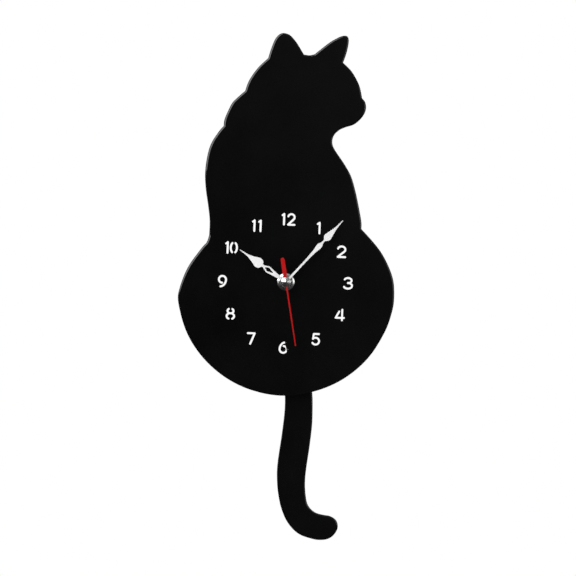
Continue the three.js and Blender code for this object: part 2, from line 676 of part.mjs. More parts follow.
const hourCollet = () => tube(HOUR_PIPE_RADIUS + FIT, 3.5, HOUR_HAND_BACK + 0.6, HOUR_HAND_BACK, 20);
const minuteCollet = () => tube(MINUTE_PIPE_RADIUS + FIT, 3, MINUTE_HAND_BACK + 0.7, MINUTE_HAND_BACK, 16);
const secondCollet = () => tube(ARBOR_RADIUS + FIT, 1.3, SECOND_HAND_BACK + 0.7, SECOND_HAND_BACK, 12);

// The small round nut that holds the minute hand on its pipe.
function minuteNut() {
  const bore = MINUTE_PIPE_RADIUS + FIT;
  const profile = [[bore, -1.2], [2.6, -1.2], [3, -0.9], [3, 0], [bore, 0], [bore, -1.2]];
  return turned(profile, 24).translate(0, HAND_NUT_BACK, 0);
}

// The domed cap on the end of the seconds arbor.
function secondCap() {
  const profile = [
    [0, -1.2], [1.6, -1.1], [3.1, -0.8], [4.1, -0.35], [4.4, 0], [0, 0],
  ];
  return turned(profile, 24).translate(0, SECOND_HAND_FRONT, 0);
}

// ---------------------------------------------------------------- motor and electronics

const COIL_AXIS = [-5.4, -22.4]; // y and z
const COIL_ENDS = [2, 23];
const STATOR_BACK = -5.95;
const STATOR = [
  [-2, -24.5], [-2, -14], [6, -10.5], [10, -6], [13, -2.8], [20, -2.8], [26.2, -6.5], [26.2, -24.5],
  [23.3, -24.5], [23.3, -16.5], [21, -14.6], [7, -14.6], [1.7, -17.5], [1.7, -24.5],
];

function stator() {
  const hole = at(ROTOR_AXIS, rod(3.4, STATOR_BACK + 1, STATOR_BACK - 2, 20));
  return cut(plate(polygon(STATOR), STATOR_BACK, 0.95), hole);
}

const coilCore = () => block([-1.8, 26], [-5.9, -4.9], [COIL_AXIS[1] - 1.5, COIL_AXIS[1] + 1.5]);

function coilBobbin() {
  const [y, z] = COIL_AXIS;
  const [start, end] = COIL_ENDS;
  const cheek = (x) => block([x, x + 0.8], [y - 3.6, y + 3.6], [z - 3.6, z + 3.6]);
  const barrel = block([start, end], [y - 1.3, y + 1.3], [z - 2.2, z + 2.2]);
  const bore = block([start - 1, end + 1], [y - 0.7, y + 0.7], [z - 1.7, z + 1.7]);
  return cut(join(cheek(start), cheek(end - 0.8), barrel), bore);
}

function coilWinding() {
  const [y, z] = COIL_AXIS;
  const [start, end] = [COIL_ENDS[0] + 0.9, COIL_ENDS[1] - 0.9];
  const winding = alongX(turned([[0, start], [3.3, start], [3.3, end], [0, end]], 20)).translate(0, y, z);
  return cut(winding, block([start - 1, end + 1], [y - 1.4, y + 1.4], [z - 2.3, z + 2.3]));
}

const rotorMagnet = () => cut(rod(3, -5, -7.4, 16), rod(0.42, -4, -8, 10));
const circuitBoard = () => block([12.6, 20.8], [-9.4, -8.4], [-2, 11]);
const chipBlob = () =>
  at([15.9, 5.5], turned([[0, -8.4], [2.6, -8.4], [2.3, -7.8], [1.3, -7.35], [0, -7.2]], 16));
const crystalCan = () => rod(1, 6, 0, 12).rotateX(Math.PI / 2).translate(19.4, -7.3, -1);

// ---------------------------------------------------------------- battery and contacts

const BATTERY_START = -23.6;

function batteryCell() {
  const [start, end] = [BATTERY_START, BATTERY_START + BATTERY_LENGTH];
  const profile = [
    [0, start], [6.6, start], [BATTERY_RADIUS, start + 0.4], [BATTERY_RADIUS, end - 0.5],
    [6.5, end], [4.4, end], [4.2, end - 0.3], [0, end - 0.3],
  ];
  return alongX(turned(profile, 24)).translate(0, ...BATTERY_CENTRE);
}

function batteryNub() {
  const start = BATTERY_START + BATTERY_LENGTH - 0.3;
  const profile = [[0, start], [2.7, start], [2.7, start + 0.7], [2.3, start + 1], [0, start + 1]];
  return alongX(turned(profile, 16)).translate(0, ...BATTERY_CENTRE);
}

function positiveContact() {
  const [, z] = BATTERY_CENTRE;
  const leaf = block([INNER - 0.4, INNER], [-14.6, -1.5], [z - 5, z + 5]);
  const tab = block([INNER - 2.4, INNER], [-15.2, -14.8], [z - 2, z + 2]);
  const bend = block([INNER - 0.4, INNER], [-15.2, -14.5], [z - 2, z + 2]);
  return join(leaf, tab, bend);
}

class SpringCurve extends THREE.Curve {
  getPoint(t, target = new THREE.Vector3()) {
    const turns = 3.25;
    const radius = 4.6 - 2.2 * t;
    const angle = 2 * Math.PI * turns * t;
    const [y, z] = BATTERY_CENTRE;
    const x = 0.45 - INNER + 2.1 * t;
    return target.set(x, y + radius * Math.cos(angle), z + radius * Math.sin(angle));
  }
}

function negativeSpring() {
  const section = new THREE.Shape().absarc(0, 0, 0.3, 0, 2 * Math.PI);
  return new THREE.ExtrudeGeometry(section, {
    extrudePath: new SpringCurve(),
    steps: 30,
    curveSegments: 3,
    bevelEnabled: false,
  });
}

// ---------------------------------------------------------------- pendulum drive and tail

const PENDULUM_FRONT = -PENDULUM_CASE_DEPTH;
const DRIVE_COIL = [0, -40.2];
const ROCKER_BACK = PENDULUM_FRONT - 0.4;
const ROCKER_THICKNESS = 2;
const STRAP_BACK = ROCKER_BACK - ROCKER_THICKNESS - 0.05;
const MAGNET_DROP = 8;
const RIVET_DROP = 17;
const DRIVE_MAGNET_RADIUS = 4.5;

function pendulumCase() {
  const half = PENDULUM_CASE_WIDTH / 2;
  const [top, bottom] = [CASE_BOTTOM, PENDULUM_CASE_BOTTOM];
  const shape = roundedRectangle([-half, half], [bottom, top], 2.5);
  const blank = plate(shape, -1.2, PENDULUM_CASE_DEPTH - 1.2, 3);
  const cavity = block([1.2 - half, half - 1.2], [PENDULUM_FRONT + 1.2, 1], [bottom + 1.2, top - 1.2]);
  const boss = at([0, PIVOT_Z], rod(2.2, -3, PENDULUM_FRONT, 16));
  return cut(join(cut(blank, cavity), boss), at([0, PIVOT_Z], rod(1.02, 0, PENDULUM_FRONT - 1, 16)));
}

function pendulumCover() {
  const half = PENDULUM_CASE_WIDTH / 2;
  return plate(roundedRectangle([-half, half], [PENDULUM_CASE_BOTTOM, CASE_BOTTOM], 2.5), 0, 1.2, 3);
}

const driveBobbin = () =>
  cut(
    join(
      at(DRIVE_COIL, rod(4.4, -1.4, -1.9, 16)),
      at(DRIVE_COIL, rod(1.8, -1.4, -6.6, 16)),
      at(DRIVE_COIL, rod(4.4, -6.1, -6.6, 16)),
    ),
    at(DRIVE_COIL, rod(1.2, 0, -8, 8)),
  );
const driveWinding = () => at(DRIVE_COIL, tube(1.85, 4.2, -1.95, -6.05, 16));
const pivotPin = () => at([0, PIVOT_Z], rod(1, -3.2, ROCKER_BACK - ROCKER_THICKNESS - 1.1, 16));

// A retaining clip in the pin's front, open at the bottom.
function pivotClip() {
  const back = ROCKER_BACK - ROCKER_THICKNESS - 0.2;
  const ring = tube(1.05, 2.3, back, back - 0.5, 20);
  return at([0, PIVOT_Z], cut(ring, block([-0.6, 0.6], [back - 1, back + 1], [-3, 0])));
}

// The rocker hangs from the pivot, turned by the swing of this pose.
function rocker() {
  const shape = new THREE.Shape();
  shape.moveTo(3.6, 0);
  shape.absarc(0, 0, 3.6, 0, Math.PI);
  shape.lineTo(-5.8, -MAGNET_DROP);
  shape.absarc(0, -MAGNET_DROP, 5.8, Math.PI, degrees(240));
  shape.lineTo(-2.5, 1.5 - RIVET_DROP);
  shape.absarc(0, -RIVET_DROP, 2.6, Math.PI, 2 * Math.PI);
  shape.lineTo(2.6, 1.5 - RIVET_DROP);
  shape.absarc(0, -MAGNET_DROP, 5.8, degrees(300), 2 * Math.PI);
  const reach = [ROCKER_BACK + 1, STRAP_BACK - 1];
  return cut(
    plate(shape, ROCKER_BACK, ROCKER_THICKNESS, 4),
    rod(1.15, ...reach, 16),
    at([0, -MAGNET_DROP], rod(DRIVE_MAGNET_RADIUS + 0.1, ...reach, 24)),
    at([0, -RIVET_DROP], rod(0.75, ...reach, 12)),
  );
}

const driveMagnet = () =>
  at([0, -MAGNET_DROP], rod(DRIVE_MAGNET_RADIUS, ROCKER_BACK + 0.1, ROCKER_BACK - 1.8, 24));

const RIVET_PLACE = [
  RIVET_DROP * Math.sin(degrees(SWING)),
  PIVOT_Z - RIVET_DROP * Math.cos(degrees(SWING)),
];
const STRAP_END = [12.5, -92];
const STRAP_HALF_WIDTH = 2.2;

// A flat strap from the rocker's end down behind the top of the tail.
function strap() {
  const run = new THREE.Vector2(STRAP_END[0] - RIVET_PLACE[0], STRAP_END[1] - RIVET_PLACE[1]);
  const heading = run.angle();
  const shape = new THREE.Shape();
  const quarter = Math.PI / 2;
  shape.absarc(...RIVET_PLACE, STRAP_HALF_WIDTH, heading + quarter, heading + 3 * quarter);
  shape.absarc(...STRAP_END, STRAP_HALF_WIDTH, heading - quarter, heading + quarter);
  const hole = at(RIVET_PLACE, rod(0.75, STRAP_BACK + 1, STRAP_BACK - 2, 12));
  return cut(plate(shape, STRAP_BACK, 0.5, 5), hole);
}

function strapRivet() {
  const front = STRAP_BACK - 0.5;
  const profile = [
    [0, front - 0.5], [1, front - 0.4], [1.4, front - 0.05], [0.65, front - 0.05],
    [0.65, ROCKER_BACK + 0.05], [0, ROCKER_BACK + 0.05],
  ];
  return at(RIVET_PLACE, turned(profile, 14));
}

const tapePad = () =>
  plate(roundedRectangle([6.5, 18.5], [-97, -79], 1), STRAP_BACK - 0.55, 0.65, 3);

// ---------------------------------------------------------------- assembly

const group = new THREE.Group();
const dial = new THREE.Group();
dial.position.z = -DIAL_DROP;
group.add(dial);

function fit(parent, name, geometry, material) {
  const mesh = new THREE.Mesh(geometry, material());
  mesh.name = name;
  parent.add(mesh);
  return mesh;
}

function placed([x, z], rotation = 0) {
  const holder = new THREE.Group();
  holder.position.set(x, 0, z);
  holder.rotation.y = rotation;
  dial.add(holder);
  return holder;
}

fit(dial, "cat_panel", catPanel(), BLACK_ACRYLIC);
fit(dial, "wall_hanger", hanger(), STEEL);
fit(dial, "threaded_bush", bush(), BRASS);
fit(dial, "rubber_washer", rubberWasher(), RUBBER);
fit(dial, "flat_washer", flatWasher(), CHROME);
fit(dial, "hex_nut", hexNut(), CHROME);

fit(dial, "movement_case", movementCase(), BLACK_PLASTIC);
fit(dial, "back_cover", backCover(), BLACK_PLASTIC);
COVER_SCREWS.forEach((place, i) => fit(dial, `cover_screw_${i + 1}`, coverScrew(place), STEEL));
fit(dial, "train_plate", trainPlate(), NATURAL_PLASTIC);
fit(dial, "stator_plate", stator(), STEEL);
fit(dial, "motor_core", coilCore(), STEEL);
fit(dial, "motor_bobbin", coilBobbin(), NATURAL_PLASTIC);
fit(dial, "motor_winding", coilWinding(), COPPER);
fit(dial, "circuit_board", circuitBoard(), BOARD_GREEN);
fit(dial, "chip_blob", chipBlob(), EPOXY);
fit(dial, "crystal_can", crystalCan(), NICKEL);
fit(dial, "positive_contact", positiveContact(), NICKEL);
fit(dial, "negative_spring", negativeSpring(), NICKEL);
fit(dial, "battery_cell", batteryCell(), CELL_JACKET);
fit(dial, "battery_nub", batteryNub(), NICKEL);

const rotorHolder = placed(ROTOR_AXIS);
fit(rotorHolder, "rotor_pinion", rotorPinion(), WHITE_PLASTIC);
fit(rotorHolder, "rotor_magnet", rotorMagnet(), FERRITE);
fit(rotorHolder, "rotor_arbor", rod(0.4, ARBOR_BACK, ARBOR_FRONT, 8), STEEL);
const intermediateHolder = placed(INTERMEDIATE_AXIS);
fit(intermediateHolder, "intermediate_wheel", intermediateWheel(), NATURAL_PLASTIC);
fit(intermediateHolder, "intermediate_arbor", rod(0.4, ARBOR_BACK, CENTRE_LAYER + 0.9, 8), STEEL);
const thirdHolder = placed(THIRD_AXIS);
fit(thirdHolder, "third_wheel", thirdWheel(), WHITE_PLASTIC);
fit(thirdHolder, "third_arbor", rod(0.5, ARBOR_BACK, ARBOR_FRONT, 8), STEEL);
const motionHolder = placed(MOTION_AXIS);
fit(motionHolder, "motion_wheel", motionWheel(), WHITE_PLASTIC);
fit(motionHolder, "motion_arbor", rod(0.6, TRAIN_PLATE_BACK - 0.2, CASE_FRONT + 1.6, 8), STEEL);
fit(placed(KNOB_AXIS), "setting_knob", settingKnob(), NATURAL_PLASTIC);

fit(dial, "seconds_wheel", secondsWheel(), NATURAL_PLASTIC);
fit(dial, "seconds_arbor", rod(ARBOR_RADIUS, ARBOR_BACK, SECOND_HAND_FRONT + 0.02, 12), STEEL);
fit(dial, "centre_wheel", centreWheel(), NATURAL_PLASTIC);
const minutePipe = tube(0.7, MINUTE_PIPE_RADIUS, CENTRE_LAYER, HAND_NUT_BACK - 0.9, 16);
fit(dial, "minute_pipe", minutePipe, BRASS);
fit(dial, "hour_wheel", hourWheel(), WHITE_PLASTIC);

const hourHolder = placed(CENTRE, degrees(HOUR_ANGLE));
fit(hourHolder, "hour_hand", hourHand(), WHITE_LACQUER);
fit(hourHolder, "hour_collet", hourCollet(), BRASS);
const minuteHolder = placed(CENTRE, degrees(MINUTE_ANGLE));
fit(minuteHolder, "minute_hand", minuteHand(), WHITE_LACQUER);
fit(minuteHolder, "minute_collet", minuteCollet(), BRASS);
fit(minuteHolder, "minute_nut", minuteNut(), CHROME);
const secondHolder = placed(CENTRE, degrees(SECOND_ANGLE));
fit(secondHolder, "second_hand", secondHand(), RED_LACQUER);
fit(secondHolder, "second_collet", secondCollet(), STEEL);
fit(secondHolder, "second_cap", secondCap(), CHROME);

fit(dial, "pendulum_case", pendulumCase(), BLACK_PLASTIC);
fit(dial, "pendulum_cover", pendulumCover(), BLACK_PLASTIC);
fit(dial, "drive_bobbin", driveBobbin(), NATURAL_PLASTIC);
fit(dial, "drive_winding", driveWinding(), COPPER);
fit(dial, "pivot_pin", pivotPin(), STEEL);
fit(dial, "pivot_clip", pivotClip(), STEEL);
const rockerHolder = placed([0, PIVOT_Z], -degrees(SWING));
fit(rockerHolder, "rocker_arm", rocker(), WHITE_PLASTIC);
fit(rockerHolder, "drive_magnet", driveMagnet(), NICKEL);
fit(dial, "tail_strap", strap(), WHITE_PLASTIC);
fit(dial, "strap_rivet", strapRivet(), NICKEL);
fit(dial, "tape_pad", tapePad(), FOAM);
fit(dial, "tail_panel", tailPanel(), BLACK_ACRYLIC);

export default group;
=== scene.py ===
"""Cat tail clock: surfaces, finishes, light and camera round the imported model.

Metres. +Z is up, the clock faces -Y, +X is to the viewer's right, and the origin is the wall nail.
"""

import json
import math

import bmesh
import bpy
import numpy as np
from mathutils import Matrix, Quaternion, Vector
from mathutils.geometry import delaunay_2d_cdt

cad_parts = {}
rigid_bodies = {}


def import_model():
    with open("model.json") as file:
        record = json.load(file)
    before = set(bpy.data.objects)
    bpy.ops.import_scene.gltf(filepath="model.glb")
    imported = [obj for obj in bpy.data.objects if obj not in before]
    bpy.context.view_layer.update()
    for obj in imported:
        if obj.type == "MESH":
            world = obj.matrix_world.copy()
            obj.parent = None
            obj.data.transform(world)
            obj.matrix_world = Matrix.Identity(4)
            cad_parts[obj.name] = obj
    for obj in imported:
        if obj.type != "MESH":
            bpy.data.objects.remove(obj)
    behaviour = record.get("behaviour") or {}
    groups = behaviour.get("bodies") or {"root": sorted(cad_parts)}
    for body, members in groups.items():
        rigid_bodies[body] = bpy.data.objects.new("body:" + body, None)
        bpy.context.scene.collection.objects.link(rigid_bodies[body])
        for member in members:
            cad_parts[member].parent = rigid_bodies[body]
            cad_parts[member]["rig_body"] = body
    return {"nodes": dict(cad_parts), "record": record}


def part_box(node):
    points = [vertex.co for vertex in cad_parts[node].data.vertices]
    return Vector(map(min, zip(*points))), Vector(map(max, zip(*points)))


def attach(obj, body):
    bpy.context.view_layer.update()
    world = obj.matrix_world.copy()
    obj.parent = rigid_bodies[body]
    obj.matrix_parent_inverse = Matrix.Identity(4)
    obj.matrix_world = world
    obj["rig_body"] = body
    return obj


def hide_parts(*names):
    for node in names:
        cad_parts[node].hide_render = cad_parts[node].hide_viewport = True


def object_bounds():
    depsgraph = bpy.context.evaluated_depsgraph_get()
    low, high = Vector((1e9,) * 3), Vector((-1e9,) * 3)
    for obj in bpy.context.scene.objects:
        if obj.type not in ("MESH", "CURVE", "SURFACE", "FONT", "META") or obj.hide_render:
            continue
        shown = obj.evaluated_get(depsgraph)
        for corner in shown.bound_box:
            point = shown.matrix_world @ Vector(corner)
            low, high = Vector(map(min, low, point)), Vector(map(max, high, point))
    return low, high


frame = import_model()
cad_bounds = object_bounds()

scene = bpy.context.scene
nodes = frame["nodes"]
slot_of = {part["node"]: part["material_slot"] for part in frame["record"]["subparts"]}
MM = 0.001


def middle(node):
    low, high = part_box(node)
    return (low + high) / 2


HUB = middle("second_cap")
PANEL_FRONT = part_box("cat_panel")[0].y

# ---------------------------------------------------------------- driving numbers

CAMERA_AZIMUTH = -1.0  # degrees, from straight in front towards the viewer's left
CAMERA_ELEVATION = 0.5
CAMERA_ROLL = 2.1  # degrees; the clock hangs that much clockwise in the picture
CAMERA_DISTANCE = 2.179
CAMERA_LENS = 150
SENSOR_WIDTH = 36
AIM = (2.2 * MM, -5.4 * MM)  # to the right of the hub and up from it, on the panel's front

PANEL_EDGE = (1.8 * MM, 1.1 * MM)  # how far the polished edge reaches in, and how deep
CRISP = (0, 0)  # as the laser leaves the numerals
HAND_EDGE = (0.12 * MM, 0.1 * MM)
OUTLINE_CORNER = 32  # degrees: a sharper turn in an outline stays a corner
NUMERAL_CORNER = 60
HAND_CORNER = 30
BROKEN_EDGE = 0.12 * MM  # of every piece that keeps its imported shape
SHORTEST_EDGE = 0.12 * MM  # of an outline
SAME_PLACE = 0.002 * MM  # corners closer than this become one

NUT_CORNER = 6.15 * MM
NUT_TURN = math.radians(17.7)  # as it was left when tightened
THREAD_PITCH = 0.75 * MM
THREAD_DEPTH = 0.3 * MM
BUSH_BORE = 2.6 * MM
WASHER_PLAY = 0.3 * MM  # round the bush
NUT_PLAY = 0.05 * MM
WASHER_FLAT = 5.2 * MM  # radius out to which the bright washer is flat
COLLET_BORES = {"hour_collet": 2.45 * MM, "minute_collet": 1.55 * MM, "second_collet": 0.55 * MM}
# The cap's point: shares of its radius, and how many millimetres the surface has fallen back there.
CAP_TIP = [(0, 0), (0.06, 0.015), (0.12, 0.055), (0.18, 0.11), (0.24, 0.17), (0.5, 0.43), (0.85, 0.78)]
SPRING = {"wire": 0.3 * MM, "turns": 3.25, "wide": 4.6 * MM, "narrow": 2.4 * MM}

WHITE_BACKDROP = 1.0
AMBIENT = 0.2
# The room that gloss reflects grows lighter from left to right of the clock, by the way it looks.
DARKER_SIDE = {"From Min": -0.03, "From Max": 0.05, "To Min": 0.45, "To Max": 1.3}
ROOM_LEVELS = ((0.0, 0.03), (0.49, 0.03), (0.54, 0.06), (0.75, 0.2), (1.0, 0.4))  # by height
FLOOR_DROP = 0.65  # the floor lies this far below the clock's lowest point
FLOOR_REACH = 4.4  # from the middle to each edge
SOFT_BOXES = {  # place, width, height and watts
    "key": ((-1.24, -1.86, 1.08), 2.0, 2.0, 60),
    "fill": ((1.65, -1.86, 0.25), 2.1, 1.8, 12),
    "rear_key": ((1.5, 1.8, 1.3), 1.4, 1.4, 45),
    "rear_fill": ((-1.8, 1.4, 0.3), 1.2, 1.4, 18),
}


# ---------------------------------------------------------------- finishes


def grey(level):
    return (level, level, level, 1)


class Finish:
    """One procedural material. Methods add nodes and return their output sockets."""

    def __init__(self, name, **constants):
        self.material = bpy.data.materials.new(name)
        self.material.use_nodes = True
        self.tree = self.material.node_tree
        self.shader = self.tree.nodes["Principled BSDF"]
        self.coordinates = self.tree.nodes.new("ShaderNodeTexCoord")
        self.place = self.coordinates.outputs["Object"]
        for input_name, value in constants.items():
            self.shade(input_name, value)

    def shade(self, name, value):
        """Feeds one of the shader's sockets; underscores in the name stand for spaces."""
        self.feed(self.shader.inputs[name.replace("_", " ")], value)

    def feed(self, socket, value):
        if isinstance(value, bpy.types.NodeSocket):
            self.tree.links.new(value, socket)
        else:
            socket.default_value = value

    def node(self, kind, inputs=None, **settings):
        made = self.tree.nodes.new("ShaderNode" + kind)
        for name, value in settings.items():
            setattr(made, name, value)
        for name, value in (inputs or {}).items():
            self.feed(made.inputs[name], value)
        return made

    def calc(self, operation, *values):
        made = self.node("Math", operation=operation)
        for socket, value in zip(made.inputs, values):
            self.feed(socket, value)
        return made.outputs[0]

    def scaled_place(self, size, stretch):
        scale = [s / size for s in stretch]
        return self.node("Mapping", {"Vector": self.place, "Scale": scale}).outputs[0]

    def noise(self, size, detail=2.0, stretch=(1, 1, 1)):
        inputs = {"Vector": self.scaled_place(size, stretch), "Scale": 1.0, "Detail": detail}
        return self.node("TexNoise", inputs).outputs["Fac"]

    def cells(self, size, stretch=(1, 1, 1), feature="F1"):
        inputs = {"Vector": self.scaled_place(size, stretch), "Scale": 1.0}
        return self.node("TexVoronoi", inputs, feature=feature)

    def span(self, value, low, high, start=0.3, end=0.7):
        """Maps start..end of a texture to low..high."""
        inputs = {"Value": value, "From Min": start, "From Max": end, "To Min": low, "To Max": high}
        return self.node("MapRange", inputs).outputs[0]

    def ramp(self, value, *stops, stepped=False):
        made = self.node("ValToRGB", {"Fac": value})
        if stepped:
            made.color_ramp.interpolation = "CONSTANT"
        elements = made.color_ramp.elements
        while len(elements) < len(stops):
            elements.new(0.5)
        for element, (position, colour) in zip(elements, stops):
            element.position = position
            element.color = colour
        return made.outputs["Color"]

    def mix(self, share, first, second):
        made = self.node("Mix", data_type="RGBA")
        for number, value in ((0, share), (6, first), (7, second)):
            self.feed(made.inputs[number], value)
        return made.outputs[2]

    def axis(self, letter, vector=None):
        return self.node("SeparateXYZ", {"Vector": vector or self.place}).outputs[letter]

    def from_axis(self, centre):
        """Distance from the line through centre that runs front to back."""
        shift = {"Vector": self.place, "Location": (-centre.x, 0, -centre.z), "Scale": (1, 0, 1)}
        flat = self.node("Mapping", shift).outputs[0]
        return self.node("VectorMath", {"Vector": flat}, operation="LENGTH").outputs["Value"]

    def waves(self, distance, pitch):
        """0 to 1 ripples, one for each pitch."""
        turns = self.calc("MULTIPLY", distance, 2 * math.pi / pitch)
        return self.calc("MULTIPLY_ADD", self.calc("SINE", turns), 0.5, 0.5)

    def side_mask(self, side=0.3, flat=0.8):
        """1 on walls that run front to back, 0 on faces that face the front or the back."""
        facing = self.calc("ABSOLUTE", self.axis("Y", self.coordinates.outputs["Normal"]))
        return self.span(facing, 1, 0, side, flat)

    def bump(self, height, depth, below=None):
        inputs = {"Height": height, "Distance": depth}
        if below:
            inputs["Normal"] = below
        return self.node("Bump", inputs).outputs["Normal"]


def acrylic():
    """Polished cast sheet: near-perfect gloss, a trace of haze, laser lines down its cut walls."""
    made = Finish("black_acrylic", IOR=1.49)
    haze = made.noise(40 * MM, 4)
    made.shade("Base_Color", made.ramp(haze, (0.3, grey(0.0016)), (0.7, grey(0.0026))))
    walls = made.side_mask()
    polish = made.span(haze, 0.015, 0.03)
    made.shade("Roughness", made.calc("MULTIPLY_ADD", made.side_mask(0.9, 0.98), 0.22, polish))
    sheet = made.bump(made.noise(85 * MM, 1), 0.12 * MM)
    lines = made.noise(0.35 * MM, 2, (1, 0.03, 1))
    made.shade("Normal", made.bump(made.calc("MULTIPLY", lines, walls), 0.005 * MM, sheet))
    return made.material


def moulded_black():
    """ABS from a spark-eroded mould."""
    made = Finish("black_abs", IOR=1.5)
    patches = made.noise(18 * MM, 4)
    made.shade("Base_Color", made.ramp(patches, (0.3, grey(0.011)), (0.7, grey(0.018))))
    grain = made.noise(1.1 * MM, 4)
    made.shade("Roughness", made.span(grain, 0.36, 0.58))
    coarse = made.bump(grain, 0.07 * MM)
    made.shade("Normal", made.bump(made.cells(0.45 * MM).outputs["Distance"], 0.02 * MM, coarse))
    return made.material


def acetal(name, light, dark):
    """Moulded acetal: slightly waxy, with flow marks."""
    made = Finish(name, Subsurface_Weight=0.12, Subsurface_Scale=0.6 * MM, IOR=1.48)
    flow = made.noise(7 * MM, 3, (1, 1, 0.35))
    made.shade("Base_Color", made.ramp(flow, (0.3, dark), (0.7, light)))
    fine = made.noise(0.7 * MM, 3)
    made.shade("Roughness", made.span(fine, 0.3, 0.44))
    made.shade("Normal", made.bump(fine, 0.015 * MM))
    return made.material


def lacquer(name, light, dark, gloss):
    """Sprayed lacquer on a stamping, with orange peel."""
    made = Finish(name, Specular_IOR_Level=gloss, IOR=1.5)
    film = made.noise(6 * MM, 3)
    made.shade("Base_Color", made.ramp(film, (0.3, dark), (0.7, light)))
    peel = made.noise(0.9 * MM, 2)
    made.shade("Roughness", made.span(peel, 0.3, 0.42))
    made.shade("Normal", made.bump(peel, 0.012 * MM))
    return made.material


def turned_metal(name, light, dark, pitch, depth, polish):
    """Metal turned or spun about the hub, with its fine rings."""
    made = Finish(name, Metallic=1.0)
    film = made.noise(5 * MM, 4)
    made.shade("Base_Color", made.ramp(film, (0.3, dark), (0.7, light)))
    made.shade("Roughness", made.span(made.noise(1.5 * MM, 3), *polish))
    made.shade("Normal", made.bump(made.waves(made.from_axis(HUB), pitch), depth))
    return made.material


def plated_steel(name, light, dark, polish, flake):
    """Plated sheet and wire: a patchy crystalline film over drawn lines."""
    made = Finish(name, Metallic=1.0)
    flakes = made.cells(flake).outputs["Color"]
    tone = made.axis("X", flakes)
    made.shade("Base_Color", made.ramp(tone, (0.0, dark), (1.0, light)))
    made.shade("Roughness", made.span(tone, *polish, 0, 1))
    made.shade("Normal", made.bump(made.noise(0.6 * MM, 3, (1, 1, 0.12)), 0.01 * MM))
    return made.material


def sintered():
    made = Finish("sintered_ferrite", Metallic=0.35)
    speckle = made.noise(0.6 * MM, 5)
    made.shade("Base_Color", made.ramp(speckle, (0.35, grey(0.03)), (0.65, grey(0.075))))
    made.shade("Roughness", made.span(speckle, 0.45, 0.65))
    made.shade("Normal", made.bump(speckle, 0.03 * MM))
    return made.material


def wound_wire(name, letter):
    """Enamelled wire laid side by side along one axis, with painted shade in the grooves between strands
    and painted sheen on their tops.
    """
    made = Finish(name, Metallic=0.85, Coat_Weight=0.5, Coat_Roughness=0.1)
    strands = made.waves(made.axis(letter), 0.22 * MM)
    uneven = made.noise(1.5 * MM, 3)
    # Painted shade and sheen: darker where neighbouring strands meet, lighter on each strand's crown,
    # dimmed a little at random.
    painted_strand_shade = made.calc("MULTIPLY", strands, made.span(uneven, 0.75, 1))
    dark, light = (0.12, 0.035, 0.01, 1), (0.5, 0.19, 0.06, 1)
    made.shade("Base_Color", made.ramp(painted_strand_shade, (0.1, dark), (0.8, light)))
    made.shade("Roughness", made.span(uneven, 0.25, 0.4))
    made.shade("Normal", made.bump(strands, 0.08 * MM))
    return made.material


def cell_sleeve():
    """The battery's shrink sleeve with plain colour bands, bare steel on its ends."""
    low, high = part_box("battery_cell")
    made = Finish("cell_sleeve", Coat_Weight=0.4, Coat_Roughness=0.15)
    along = made.span(made.axis("X"), 0, 1, low.x, high.x)
    blue, silver, copper = (0.012, 0.05, 0.16, 1), (0.42, 0.43, 0.45, 1), (0.45, 0.2, 0.07, 1)
    bands = made.ramp(
        along, (0, silver), (0.03, blue), (0.66, silver), (0.69, copper), (0.97, silver), stepped=True
    )
    wear = made.noise(3 * MM, 4)
    printed = made.mix(made.span(wear, 0, 0.12, 0.4, 0.8), bands, silver)
    facing = made.calc("ABSOLUTE", made.axis("X", made.coordinates.outputs["Normal"]))
    ends = made.span(facing, 0, 1, 0.75, 0.9)
    made.shade("Base_Color", made.mix(ends, printed, grey(0.6)))
    made.shade("Metallic", made.calc("MULTIPLY_ADD", ends, 0.6, 0.4))
    made.shade("Roughness", made.span(wear, 0.24, 0.36))
    made.shade("Normal", made.bump(made.noise(9 * MM, 2, (0.3, 1, 1)), 0.08 * MM))
    return made.material


def rubber():
    made = Finish("black_rubber")
    dust = made.noise(1.2 * MM, 5)
    made.shade("Base_Color", made.ramp(dust, (0.35, grey(0.012)), (0.7, grey(0.03))))
    made.shade("Roughness", made.span(dust, 0.7, 0.9))
    made.shade("Normal", made.bump(dust, 0.04 * MM))
    return made.material


def foam():
    """Closed-cell tape: bubbles on its cut sides, with painted shade darkening each bubble's hollow."""
    made = Finish("foam_tape", Subsurface_Weight=0.2, Subsurface_Scale=1 * MM)
    bubbles = made.cells(0.35 * MM).outputs["Distance"]
    # wall is painted shade inside each bubble's hollow; skin is the foam's own colour.
    wall, skin = (0.6, 0.58, 0.52, 1), (0.88, 0.86, 0.8, 1)
    made.shade("Base_Color", made.ramp(bubbles, (0.0, wall), (0.6, skin)))
    made.shade("Roughness", made.span(bubbles, 0.75, 0.92, 0, 1))
    made.shade("Normal", made.bump(bubbles, 0.12 * MM))
    return made.material


def solder_mask():
    """Green board: copper tracks show through as lighter lines."""
    made = Finish("green_board", Coat_Weight=0.5, Coat_Roughness=0.2)
    tracks = made.cells(2.2 * MM, (1, 0.01, 0.7), "DISTANCE_TO_EDGE").outputs["Distance"]
    track, between = (0.05, 0.2, 0.07, 1), (0.012, 0.085, 0.03, 1)
    made.shade("Base_Color", made.ramp(tracks, (0.0, track), (0.12, between)))
    made.shade("Roughness", made.span(made.noise(0.8 * MM, 3), 0.3, 0.45))
    made.shade("Normal", made.bump(made.ramp(tracks, (0.05, grey(1)), (0.12, grey(0))), 0.03 * MM))
    return made.material


def epoxy():
    made = Finish("black_epoxy", IOR=1.55)
    swirl = made.noise(1.4 * MM, 4)
    made.shade("Base_Color", made.ramp(swirl, (0.3, grey(0.008)), (0.7, grey(0.02))))
    made.shade("Roughness", made.span(swirl, 0.12, 0.25))
    made.shade("Normal", made.bump(swirl, 0.08 * MM))
    return made.material


